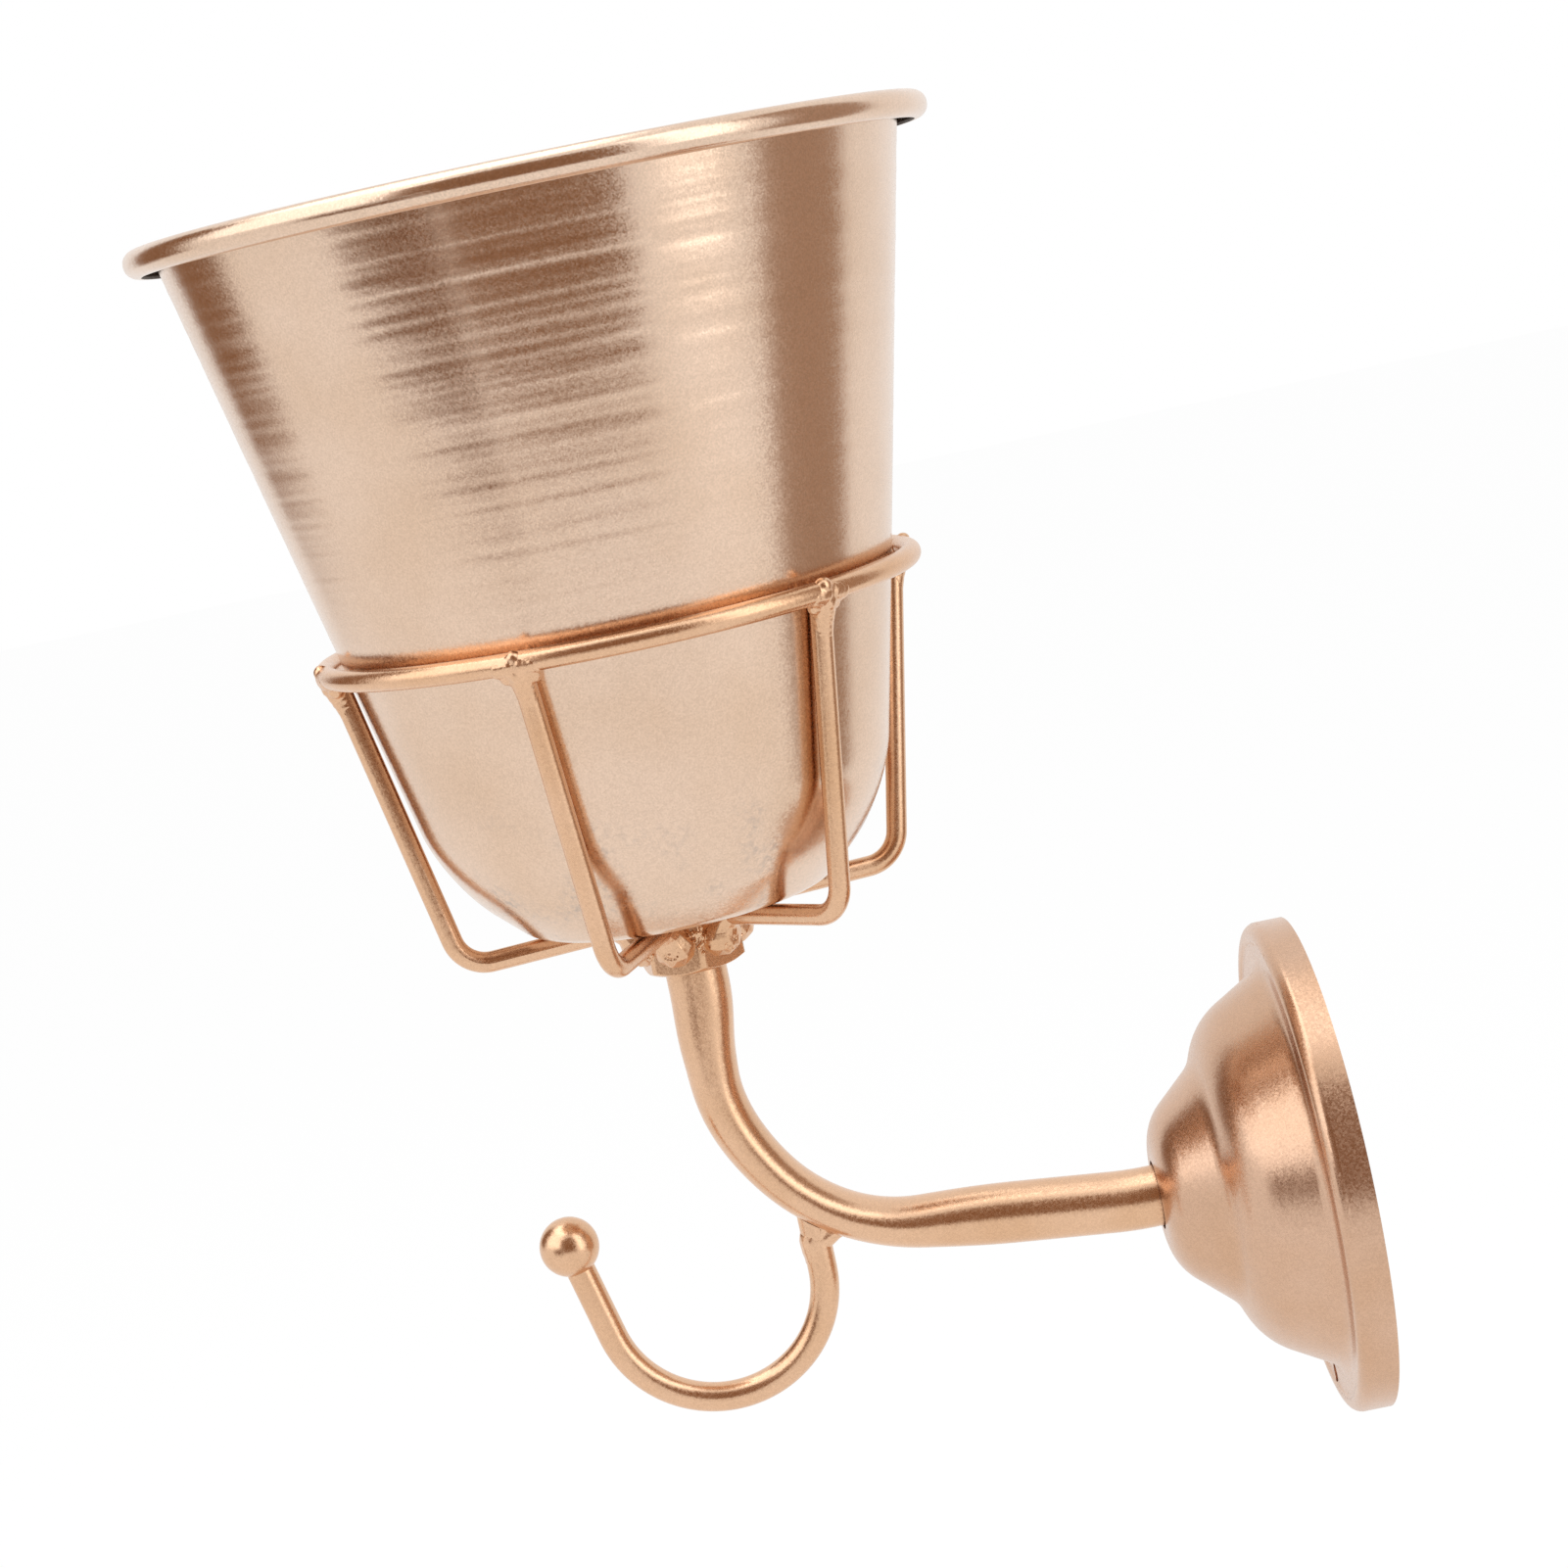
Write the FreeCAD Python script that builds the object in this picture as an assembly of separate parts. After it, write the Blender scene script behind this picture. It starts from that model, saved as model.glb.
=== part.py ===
import FreeCAD, Part
import math
import os

# A wall vase: a spun metal cup in a welded wire cage, carried on a bent tube arm
# that screws into a stepped round wall flange. A ball-ended hook hangs under the arm.
# Frame: origin on the wall at the centre of the flange, wall plane y = 0, the arm
# runs out along -Y and the cup stands up along +Z.

# General
cut_overrun = 2.0
weld_gap = 0.05
thread_clearance = 0.08

# Tube and standard nut sizes
tube_diameter = 10.4
tube_wall = 1.0
nut_across_flats = 16.0
nut_height = 8.4
nut_chamfer_angle = 30.0

# Wall flange, pressed from sheet
flange_diameter = 84.2
flange_rim_depth = 6.4
flange_sheet = 1.2
flange_rim_bend = 2.0
flat_ring_width = 7.8
rim_step_height = 0.4
rim_step_width = 0.7
rim_step_in = 3.3
rim_step_foot_bend = 0.6
rim_step_top_bend = 1.3
cove_bend = 3.0
crown_height = 30.3
crown_rounding = 4.7
crown_hole_clearance = 0.7
neck_radius_share = 0.389
neck_height_share = 0.6
neck_bend_share = 0.25
shoulder_radius_share = 0.697
shoulder_height_share = 0.488
shoulder_bend_share = 0.62
screw_edge_distance = 4.6
screw_hole_diameter = 3.2
screw_hole_count = 3
lowest_screw_angle = -90.0

# Nut welded behind the crown, with its weld beads
flange_nut_across_flats = 13.0
flange_nut_height = 8.0
flange_nut_weld_radius = 0.8
flange_nut_weld_count = 3
flange_nut_first_weld_angle = 60.0
tube_end_past_nut = 1.0

# Arm
arm_reach = 99.2
arm_straight = 35.0
arm_rise_angle = 6.2
arm_rise_bend = 60.0
arm_main_bend = 32.4
arm_end_below_nut_top = 0.6

# The main bend squeezes the tube oval: how far before and after the bend this starts and is done
squeezed_depth = 7.7
squeezed_width = 12.0
squeeze_start_before_bend = 12.0
squeeze_full_after_bend_start = 8.0
squeeze_release_before_bend_end = 2.0
squeeze_end_after_bend = 12.0
squeeze_section_count = 27
# Share of the straight tube left on either side that is formed in one with the bend
squeeze_lead_share = 0.45

# Hook under the arm
hook_wire_diameter = 5.0
hook_radius = 19.0
hook_centre_out = 8.6
hook_centre_drop = 0.8
hook_root_length = 12.0
hook_turn_end_angle = -167.0
hook_leg_length = 17.4
hook_ball_diameter = 10.2
hook_ball_socket_depth = 3.0
hook_weld_radius = 4.0
hook_weld_rise = 7.0

# Wire cage
cage_wire_diameter = 3.5
cage_wire_count = 6
cage_first_angle = -77.0
cage_leg_height = 64.6
cage_ring_height = 116.6
ring_cup_clearance = 1.4
wire_inside_ring = 1.5
cage_corner_radius = 37.9
cage_bend = 6.0
ring_weld_radius = 2.5
ring_weld_drop = 2.2
ring_weld_out = 0.9
nut_weld_radius = 3.0
nut_weld_drop = 1.45
nut_weld_out = 0.4
nut_below_wire_top = 0.8

# Cup, spun from sheet: sizes of its inner face
cup_seat_gap = 0.3
cup_height = 122.3
cup_sheet = 1.0
cup_base_radius = 25.0
cup_base_bend = 4.0
cup_knee_radius = 36.9
cup_knee_rise = 11.7
cup_knee_bend = 30.0
cup_mouth_radius = 60.2
cup_mouth_bend = 2.2
lip_diameter = 131.2
lip_height = 4.4
lip_return = 2.4
lip_bend_share = 0.48

# Worked out from the sizes above
tube_radius = tube_diameter / 2
wire_radius = cage_wire_diameter / 2
hook_wire_radius = hook_wire_diameter / 2
flange_radius = flange_diameter / 2
flat_ring_height = flange_rim_depth - rim_step_height
cove_radius = flange_radius - flat_ring_width
crown_radius = flange_nut_across_flats / 2 + flange_nut_weld_radius + crown_rounding
wire_top = cage_leg_height + wire_radius
hub_nut_top = wire_top - nut_below_wire_top
hub_nut_bottom = hub_nut_top - nut_height
cup_bottom = wire_top + cup_seat_gap
cup_floor = cup_bottom + cup_sheet
cup_top = cup_bottom + cup_height
cup_taper = (cup_mouth_radius - cup_knee_radius) / (cup_top - cup_floor - cup_knee_rise)
cup_radius_at_ring = (cup_knee_radius + (cage_ring_height - cup_floor - cup_knee_rise) * cup_taper
                      + cup_sheet * math.hypot(1, cup_taper))
cage_ring_radius = cup_radius_at_ring + ring_cup_clearance + wire_radius
cage_wire_top_radius = cage_ring_radius - wire_inside_ring
hook_centre = FreeCAD.Vector(0, -arm_reach - hook_centre_out, -hook_centre_drop)

UP = FreeCAD.Vector(0, 0, 1)
OUT = FreeCAD.Vector(0, -1, 0)
ACROSS = FreeCAD.Vector(1, 0, 0)
ORIGIN = FreeCAD.Vector(0, 0, 0)
CUP_AXIS = FreeCAD.Vector(0, -arm_reach, 0)


def bent_path(corners, bends):
    """Join corner points by straight lines, with an arc of the given radius at each inner corner."""
    edges = []
    start = corners[0]
    for before, corner, after, bend in zip(corners, corners[1:], corners[2:], bends):
        back = (before - corner).normalize()
        ahead = (after - corner).normalize()
        half_angle = back.getAngle(ahead) / 2
        reach = bend / math.tan(half_angle)
        towards_centre = (back + ahead).normalize()
        middle = corner + towards_centre * (bend / math.sin(half_angle) - bend)
        arc_start = corner + back * reach
        arc_end = corner + ahead * reach
        edges.append(Part.makeLine(start, arc_start))
        edges.append(Part.Arc(arc_start, middle, arc_end).toShape())
        start = arc_end
    edges.append(Part.makeLine(start, corners[-1]))
    return Part.Wire(edges)


def rod(path, radius):
    """Sweep a round bar along a path."""
    first = path.OrderedEdges[0]
    tangent = first.tangentAt(first.FirstParameter)
    ring = Part.Wire(Part.makeCircle(radius, first.valueAt(first.FirstParameter), tangent))
    return path.makePipeShell([ring], True, True)


def sheet_of_revolution(path, thickness, centre, axis):
    """Thicken a profile to a sheet and turn it about an axis."""
    section = path.makeOffset2D(thickness, 0, True, True, False)
    turned = section.revolve(centre, axis, 360)
    return Part.makeSolid(turned.Shells[0])


def hexagon_nut(across_flats, height, hole_radius, first_flat_angle):
    """A hexagon nut standing on z = 0 with both ends chamfered and a plain round hole."""
    flat_radius = across_flats / 2
    corner_radius = flat_radius / math.cos(math.pi / 6)
    corner_angles = [math.radians(first_flat_angle + 30 + 60 * side) for side in range(7)]
    corners = [FreeCAD.Vector(corner_radius * math.cos(a), corner_radius * math.sin(a), 0)
               for a in corner_angles]
    prism = Part.Face(Part.makePolygon(corners)).extrude(UP * height)
    chamfer = (corner_radius - flat_radius) * math.tan(math.radians(nut_chamfer_angle))
    turned = Part.makePolygon([FreeCAD.Vector(r, 0, z) for r, z in (
        (0, 0), (flat_radius, 0), (corner_radius, chamfer), (corner_radius, height - chamfer),
        (flat_radius, height), (0, height), (0, 0))])
    blank = prism.common(Part.Face(turned).revolve(ORIGIN, UP, 360))
    hole = Part.makeCylinder(hole_radius, height + 2 * cut_overrun, UP * -cut_overrun)
    return blank.cut(hole)


def around_cup(shape, angle):
    """Turn a shape made on the +X side of the Z axis to its angle and move it to the cup's axis."""
    placed = shape.copy()
    placed.rotate(ORIGIN, UP, angle)
    placed.translate(CUP_AXIS)
    return placed


def make_flange():
    """Stepped round flange: crown, neck, shoulder, cove, screw ring and a rim turned back to the wall."""
    step_foot = flange_radius - rim_step_in
    dome_width = cove_radius - crown_radius
    dome_height = crown_height - flat_ring_height
    profile = [(tube_radius + crown_hole_clearance, crown_height), (crown_radius, crown_height)]
    for radius_share, height_share in ((neck_radius_share, neck_height_share),
                                       (shoulder_radius_share, shoulder_height_share)):
        profile.append((crown_radius + dome_width * radius_share,
                        flat_ring_height + dome_height * height_share))
    profile += [(cove_radius, flat_ring_height), (step_foot, flat_ring_height),
                (step_foot + rim_step_width, flange_rim_depth), (flange_radius, flange_rim_depth),
                (flange_radius, 0)]
    crown_turn = math.atan2(dome_height * (1 - neck_height_share), dome_width * neck_radius_share)
    crown_bend = crown_rounding / math.tan(crown_turn / 2)
    bends = [crown_bend, dome_width * neck_bend_share, dome_width * shoulder_bend_share, cove_bend,
             rim_step_foot_bend, rim_step_top_bend, flange_rim_bend]
    path = bent_path([FreeCAD.Vector(r, -h, 0) for r, h in profile], bends)
    shell = sheet_of_revolution(path, -flange_sheet, ORIGIN, OUT)
    for hole_number in range(screw_hole_count):
        angle = math.radians(lowest_screw_angle + 360 * hole_number / screw_hole_count)
        place = FreeCAD.Vector(math.cos(angle), 0, math.sin(angle)) * (flange_radius - screw_edge_distance)
        shell = shell.cut(Part.makeCylinder(screw_hole_diameter / 2, crown_height, place, OUT))
    return shell


def make_flange_nut():
    """Nut that takes the threaded arm end, seated against the inside of the crown."""
    nut = hexagon_nut(flange_nut_across_flats, flange_nut_height, tube_radius + thread_clearance, 0)
    nut.rotate(ORIGIN, ACROSS, 90)
    nut.translate(OUT * (crown_height - flange_sheet - flange_nut_height))
    return nut


def make_flange_nut_welds(nut):
    """Weld beads that fill the corner between every second flat of the nut and the crown."""
    crown_face = OUT * (crown_height - flange_sheet)
    crown = Part.makeCylinder(crown_radius, flange_nut_weld_radius + cut_overrun, crown_face, OUT)
    beads = []
    for bead_number in range(flange_nut_weld_count):
        angle = math.radians(flange_nut_first_weld_angle + 360 * bead_number / flange_nut_weld_count)
        sideways = FreeCAD.Vector(math.cos(angle), 0, math.sin(angle))
        place = crown_face + sideways * (flange_nut_across_flats / 2)
        bead = Part.makeSphere(flange_nut_weld_radius, place)
        beads.append(largest_solid(bead.cut(crown).cut(nut).Solids))
    return Part.makeCompound(beads)


def largest_solid(pieces):
    """The main lump left after a cut."""
    return max(pieces, key=lambda piece: piece.Volume)


def arm_path():
    """Arm centre line: straight out of the flange, a slight rise, then the main bend up to the nut."""
    inner_end = crown_height - flange_sheet - flange_nut_height - tube_end_past_nut
    rise = (arm_reach - arm_straight) * math.tan(math.radians(arm_rise_angle))
    corners = [(inner_end, 0), (arm_straight, 0), (arm_reach, rise),
               (arm_reach, hub_nut_top - arm_end_below_nut_top)]
    return bent_path([FreeCAD.Vector(0, -y, z) for y, z in corners], [arm_rise_bend, arm_main_bend])


def place_along(edges, distance):
    """The point and direction a given distance along joined edges."""
    for edge in edges[:-1]:
        if distance < edge.Length:
            break
        distance -= edge.Length
    else:
        edge = edges[-1]
    parameter = edge.getParameterByLength(distance)
    return edge.valueAt(parameter), edge.tangentAt(parameter)


def eased(share):
    """A smooth step from 0 to 1."""
    share = min(max(share, 0), 1)
    return share ** 3 * (10 - 15 * share + 6 * share ** 2)


def arm_bar(skin):
    """The arm as a solid bar with a skin taken off it: round runs on both sides of an oval bend."""
    edges = arm_path().OrderedEdges
    first_run, rise_bend, second_run, main_bend, upright = edges
    bend_start = first_run.Length + rise_bend.Length + second_run.Length
    bend_end = bend_start + main_bend.Length
    squeeze_start = bend_start - squeeze_start_before_bend
    squeeze_full = bend_start + squeeze_full_after_bend_start
    release = bend_end - squeeze_release_before_bend_end
    squeeze_end = bend_end + squeeze_end_after_bend
    run_left = squeeze_start - first_run.Length - rise_bend.Length
    upright_left = bend_end + upright.Length - squeeze_end
    formed_start = squeeze_start - run_left * squeeze_lead_share
    formed_end = squeeze_end + upright_left * squeeze_lead_share
    sections = []
    for number in range(squeeze_section_count):
        distance = formed_start + (formed_end - formed_start) * number / (squeeze_section_count - 1)
        squeeze = min(eased((distance - squeeze_start) / (squeeze_full - squeeze_start)),
                      eased((squeeze_end - distance) / (squeeze_end - release)))
        width = tube_diameter + (squeezed_width - tube_diameter) * squeeze
        depth = tube_diameter + (squeezed_depth - tube_diameter) * squeeze
        section = Part.Wire(Part.Ellipse(ORIGIN, width / 2 - skin, depth / 2 - skin).toShape())
        point, direction = place_along(edges, distance)
        in_plane = direction.cross(ACROSS)
        section.Placement = FreeCAD.Placement(point, FreeCAD.Rotation(ACROSS, in_plane, direction, "XYZ"))
        sections.append(section)
    bend = Part.makeLoft(sections, True)
    run_end, _ = place_along(edges, formed_start)
    upright_start, _ = place_along(edges, formed_end)
    run_rest = Part.makeLine(second_run.valueAt(second_run.FirstParameter), run_end)
    run = Part.Wire([first_run, rise_bend, run_rest])
    top = Part.Wire(Part.makeLine(upright_start, upright.valueAt(upright.LastParameter)))
    return rod(run, tube_radius - skin).multiFuse([bend, rod(top, tube_radius - skin)]).removeSplitter()


def make_arm():
    """Bent tube arm."""
    return arm_bar(0).cut(arm_bar(tube_wall))


def hook_point(angle):
    """A point on the hook's round part, by its angle from straight towards the wall."""
    turn = math.radians(angle)
    return hook_centre + FreeCAD.Vector(0, math.cos(turn), math.sin(turn)) * hook_radius


def hook_leg_direction():
    """Direction of the straight leg that runs on from the round part to the ball."""
    turn = math.radians(hook_turn_end_angle)
    return FreeCAD.Vector(0, math.sin(turn), -math.cos(turn))


def ball_centre():
    """Middle of the ball, at the end of the leg."""
    return hook_point(hook_turn_end_angle) + hook_leg_direction() * hook_leg_length


def make_hook(arm_solid):
    """Round hook between an upright root, cut to the arm's surface, and a straight leg."""
    root = Part.makeLine(hook_point(0) + UP * hook_root_length, hook_point(0))
    middle_angle = hook_turn_end_angle / 2
    turn = Part.Arc(hook_point(0), hook_point(middle_angle), hook_point(hook_turn_end_angle))
    leg_end = ball_centre() - hook_leg_direction() * (hook_ball_diameter / 2 - hook_ball_socket_depth)
    leg = Part.makeLine(hook_point(hook_turn_end_angle), leg_end)
    bar = rod(Part.Wire([root, turn.toShape(), leg]), hook_wire_radius)
    return largest_solid(bar.cut(arm_solid).Solids)


def make_hook_ball(hook):
    """Ball drilled to take the end of the hook."""
    return Part.makeSphere(hook_ball_diameter / 2, ball_centre()).cut(hook)


def make_hook_weld(hook, arm_solid):
    """Weld lump round the root of the hook."""
    lump = Part.makeSphere(hook_weld_radius, hook_point(0) + UP * hook_weld_rise)
    return largest_solid(lump.cut(arm_solid).cut(hook).Solids)


def make_hub_nut():
    """Nut at the foot of the cage, screwed onto the top of the arm."""
    nut = hexagon_nut(nut_across_flats, nut_height, tube_radius + thread_clearance, cage_first_angle)
    nut.translate(CUP_AXIS + UP * hub_nut_bottom)
    return nut


def make_cage_ring():
    """Round wire ring that steadies the cup."""
    return Part.makeTorus(cage_ring_radius, wire_radius, CUP_AXIS + UP * cage_ring_height)


def cage_wire():
    """One bent wire: up from the nut's flat under the cup, round the corner and up to the ring."""
    top = cage_ring_height - wire_radius - weld_gap
    corners = [(nut_across_flats / 2, cage_leg_height), (cage_corner_radius, cage_leg_height),
               (cage_wire_top_radius, top)]
    return rod(bent_path([FreeCAD.Vector(r, 0, z) for r, z in corners], [cage_bend]), wire_radius)


def make_ring_weld(wire, ring):
    """Weld lump where a wire meets the ring."""
    place = FreeCAD.Vector(cage_wire_top_radius + ring_weld_out, 0, cage_ring_height - ring_weld_drop)
    lump = around_cup(Part.makeSphere(ring_weld_radius, place), cage_first_angle)
    return largest_solid(lump.cut(ring).cut(wire).Solids)


def make_nut_weld(wire, nut):
    """Weld lump where a wire meets the nut."""
    place = FreeCAD.Vector(nut_across_flats / 2 + nut_weld_out, 0, cage_leg_height - nut_weld_drop)
    lump = around_cup(Part.makeSphere(nut_weld_radius, place), cage_first_angle)
    return largest_solid(lump.cut(nut).cut(wire).Solids)


def around_the_cage(shape):
    """Repeat a shape at every wire of the cage."""
    copies = []
    for number in range(cage_wire_count):
        copy = shape.copy()
        copy.rotate(CUP_AXIS, UP, 360 * number / cage_wire_count)
        copies.append(copy)
    return copies


def make_cup():
    """Tapered cup with a rounded foot and an open lip rolled outwards."""
    lip_radius = lip_diameter / 2
    lip_bend = lip_height * lip_bend_share
    profile = [(0, cup_floor), (cup_base_radius, cup_floor), (cup_knee_radius, cup_floor + cup_knee_rise),
               (cup_mouth_radius, cup_top), (lip_radius, cup_top), (lip_radius, cup_top - lip_height),
               (lip_radius - lip_return, cup_top - lip_height)]
    bends = [cup_base_bend, cup_knee_bend, cup_mouth_bend, lip_bend, lip_bend]
    path = bent_path([FreeCAD.Vector(r, 0, z) for r, z in profile], bends)
    cup = sheet_of_revolution(path, -cup_sheet, ORIGIN, UP)
    cup.translate(CUP_AXIS)
    return cup


def main():
    flange = make_flange()
    flange_nut = make_flange_nut()
    arm = make_arm()
    arm_solid = arm_bar(0)
    hook = make_hook(arm_solid)
    hub_nut = make_hub_nut()
    ring = make_cage_ring()
    first_wire = around_cup(cage_wire(), cage_first_angle)
    nodes = {
        "wall_flange": flange,
        "flange_nut": flange_nut,
        "flange_nut_welds": make_flange_nut_welds(flange_nut),
        "arm_tube": arm,
        "hook_wire": hook,
        "hook_ball": make_hook_ball(hook),
        "hook_weld": make_hook_weld(hook, arm_solid),
        "hub_nut": hub_nut,
        "nut_welds": Part.makeCompound(around_the_cage(make_nut_weld(first_wire, hub_nut))),
        "cage_ring": ring,
        "ring_welds": Part.makeCompound(around_the_cage(make_ring_weld(first_wire, ring))),
        "cup": make_cup(),
    }
    for number, wire in enumerate(around_the_cage(first_wire), start=1):
        nodes[f"cage_wire_{number}"] = wire
    os.makedirs("parts", exist_ok=True)
    for name, shape in nodes.items():
        shape.exportStep(f"parts/{name}.step")


main()
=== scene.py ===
import math
import random

import bmesh
import bpy
from mathutils import Matrix, Vector, kdtree, noise


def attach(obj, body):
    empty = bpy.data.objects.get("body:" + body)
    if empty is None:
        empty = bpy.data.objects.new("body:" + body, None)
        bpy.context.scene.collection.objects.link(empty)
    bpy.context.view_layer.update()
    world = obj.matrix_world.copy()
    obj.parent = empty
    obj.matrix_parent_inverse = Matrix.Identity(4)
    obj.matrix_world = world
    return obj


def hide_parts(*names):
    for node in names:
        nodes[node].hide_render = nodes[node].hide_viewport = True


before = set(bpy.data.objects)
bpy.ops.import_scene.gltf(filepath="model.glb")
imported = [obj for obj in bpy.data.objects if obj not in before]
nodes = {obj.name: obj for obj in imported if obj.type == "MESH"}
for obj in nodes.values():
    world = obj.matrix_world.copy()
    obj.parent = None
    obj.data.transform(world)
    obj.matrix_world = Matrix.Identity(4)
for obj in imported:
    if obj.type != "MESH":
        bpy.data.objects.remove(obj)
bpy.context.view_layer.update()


# The wall flange: one disc of sheet steel, pressed into two bulging steps, a flat screw ring
# and an edge turned back to the wall. It is sprayed with a satin metal-flake gold paint,
# a little deeper in tone than the rest of the bracket.
FLANGE_COLOUR = (0.667, 0.437, 0.307, 1.0)
FLANGE_DEEP_COLOUR = (0.614, 0.376, 0.237, 1.0)
FLANGE_ROUGHNESS = 0.25
FLAKE_CELLS_PER_METRE = 3800.0
FLAKE_TILT = 0.05
FLAKE_GLINT = (0.93, 1.07)
FLAKE_ROUGHNESS_SPREAD = (-0.04, 0.06)
FLAKE_COLOUR_MIDDLE = (0.5, 0.5, 0.5)
PAINT_PATCHES_PER_METRE = 45.0
PAINT_PATCH_DETAIL = 4.0
PAINT_PATCH_RANGE = (0.3, 0.6)
PAINT_PEEL_PER_METRE = 620.0
PAINT_PEEL_DETAIL = 3.0
PAINT_PEEL_STRENGTH = 0.35
PAINT_PEEL_DEPTH = 0.00004
WHOLE_RANGE = (0.0, 1.0)


def link(tree, source, target):
    """Join two sockets of a shader."""
    tree.links.new(source, target)


def new_node(tree, kind, **settings):
    """Add a shader node with its settings."""
    node = tree.nodes.new(kind)
    for name, value in settings.items():
        setattr(node, name, value)
    return node


def clouds(tree, place, per_metre, detail):
    """A cloudy pattern with so many clouds to the metre."""
    pattern = new_node(tree, "ShaderNodeTexNoise")
    pattern.inputs["Scale"].default_value = per_metre
    pattern.inputs["Detail"].default_value = detail
    link(tree, place.outputs["Object"], pattern.inputs["Vector"])
    return pattern.outputs["Fac"]


def ranged(tree, source, reads, gives):
    """A value carried over from one range to another and held at its ends."""
    change = new_node(tree, "ShaderNodeMapRange")
    change.inputs["From Min"].default_value = reads[0]
    change.inputs["From Max"].default_value = reads[1]
    change.inputs["To Min"].default_value = gives[0]
    change.inputs["To Max"].default_value = gives[1]
    link(tree, source, change.inputs["Value"])
    return change.outputs["Result"]


def flake_paint(name, colour, deep_colour, roughness, flake_tilt):
    """Metal-flake gold paint: a broad drift of tone, an orange-peel bump and small tilted flakes."""
    material = bpy.data.materials.new(name)
    material.use_nodes = True
    tree = material.node_tree
    shader = tree.nodes["Principled BSDF"]
    shader.inputs["Metallic"].default_value = 1.0
    place = new_node(tree, "ShaderNodeTexCoord")
    flakes = new_node(tree, "ShaderNodeTexVoronoi", feature="F1")
    flakes.inputs["Scale"].default_value = FLAKE_CELLS_PER_METRE
    link(tree, place.outputs["Object"], flakes.inputs["Vector"])
    flake_draws = new_node(tree, "ShaderNodeSeparateColor")
    link(tree, flakes.outputs["Color"], flake_draws.inputs["Color"])

    tone = new_node(tree, "ShaderNodeMix", data_type="RGBA")
    tone.inputs["A"].default_value = deep_colour
    tone.inputs["B"].default_value = colour
    patches = clouds(tree, place, PAINT_PATCHES_PER_METRE, PAINT_PATCH_DETAIL)
    link(tree, ranged(tree, patches, PAINT_PATCH_RANGE, WHOLE_RANGE), tone.inputs["Factor"])
    glint = new_node(tree, "ShaderNodeHueSaturation")
    glints = ranged(tree, flake_draws.outputs["Red"], WHOLE_RANGE, FLAKE_GLINT)
    link(tree, glints, glint.inputs["Value"])
    link(tree, tone.outputs["Result"], glint.inputs["Color"])
    link(tree, glint.outputs["Color"], shader.inputs["Base Color"])

    rough_range = [roughness + spread for spread in FLAKE_ROUGHNESS_SPREAD]
    rough = ranged(tree, flake_draws.outputs["Green"], WHOLE_RANGE, rough_range)
    link(tree, rough, shader.inputs["Roughness"])

    skin = new_node(tree, "ShaderNodeBump")
    skin.inputs["Strength"].default_value = PAINT_PEEL_STRENGTH
    skin.inputs["Distance"].default_value = PAINT_PEEL_DEPTH
    link(tree, clouds(tree, place, PAINT_PEEL_PER_METRE, PAINT_PEEL_DETAIL), skin.inputs["Height"])
    centred = new_node(tree, "ShaderNodeVectorMath", operation="SUBTRACT")
    centred.inputs[1].default_value = FLAKE_COLOUR_MIDDLE
    link(tree, flakes.outputs["Color"], centred.inputs[0])
    tilt = new_node(tree, "ShaderNodeVectorMath", operation="SCALE")
    tilt.inputs["Scale"].default_value = flake_tilt
    link(tree, centred.outputs["Vector"], tilt.inputs[0])
    tilted = new_node(tree, "ShaderNodeVectorMath", operation="ADD")
    link(tree, skin.outputs["Normal"], tilted.inputs[0])
    link(tree, tilt.outputs["Vector"], tilted.inputs[1])
    facing = new_node(tree, "ShaderNodeVectorMath", operation="NORMALIZE")
    link(tree, tilted.outputs["Vector"], facing.inputs[0])
    link(tree, facing.outputs["Vector"], shader.inputs["Normal"])
    return material


def finish_node(node_name, material):
    """Give a carried-over solid its finish."""
    mesh = nodes[node_name].data
    mesh.materials.clear()
    mesh.materials.append(material)


flange_paint = flake_paint("flange_gold_paint", FLANGE_COLOUR, FLANGE_DEEP_COLOUR, FLANGE_ROUGHNESS,
                           FLAKE_TILT)
finish_node("wall_flange", flange_paint)


# The nut behind the crown of the flange, with three weld beads: plain steel parts
# that take the gold paint of the arm, the hook and the cage.
BRACKET_COLOUR = (0.77, 0.495, 0.32, 1.0)
BRACKET_DEEP_COLOUR = (0.70, 0.425, 0.25, 1.0)
BRACKET_ROUGHNESS = 0.24
bracket_paint = flake_paint("bracket_gold_paint", BRACKET_COLOUR, BRACKET_DEEP_COLOUR, BRACKET_ROUGHNESS,
                            FLAKE_TILT)
finish_node("flange_nut", bracket_paint)
finish_node("flange_nut_welds", bracket_paint)


# The arm: one steel tube with threaded ends, bent up over a former by hand. The bend squeezes it oval,
# more along its plane than it swells across it, and leaves the upright end slightly bowed.
# Where it is squeezed and bowed is given in lengths along the tube from the start of its main bend.
MM = 0.001
JOIN_WITHIN = 0.001
TUBE_DIAMETER = 10.4
TUBE_WALL = 1.0
ARM_SEGMENTS = 56
ARM_RING_GAP = 1.0
ARM_START = -20.1
LEVEL_RUN = 11.65
RISE_BEND_RADIUS = 60.0
RISE_TURN = 6.2
RISING_RUN = 32.26
MAIN_BEND_RADIUS = 32.4
MAIN_TURN = 83.8
UPRIGHT_RUN = 28.9
RISE_BEND_RUN = RISE_BEND_RADIUS * math.radians(RISE_TURN)
MAIN_BEND_RUN = MAIN_BEND_RADIUS * math.radians(MAIN_TURN)
ARM_RUNS = ((LEVEL_RUN, 0.0), (RISE_BEND_RUN, RISE_TURN), (RISING_RUN, 0.0), (MAIN_BEND_RUN, MAIN_TURN),
            (UPRIGHT_RUN, 0.0))
SQUEEZED_DEPTH = 7.7
SWOLLEN_WIDTH = 10.83
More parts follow.
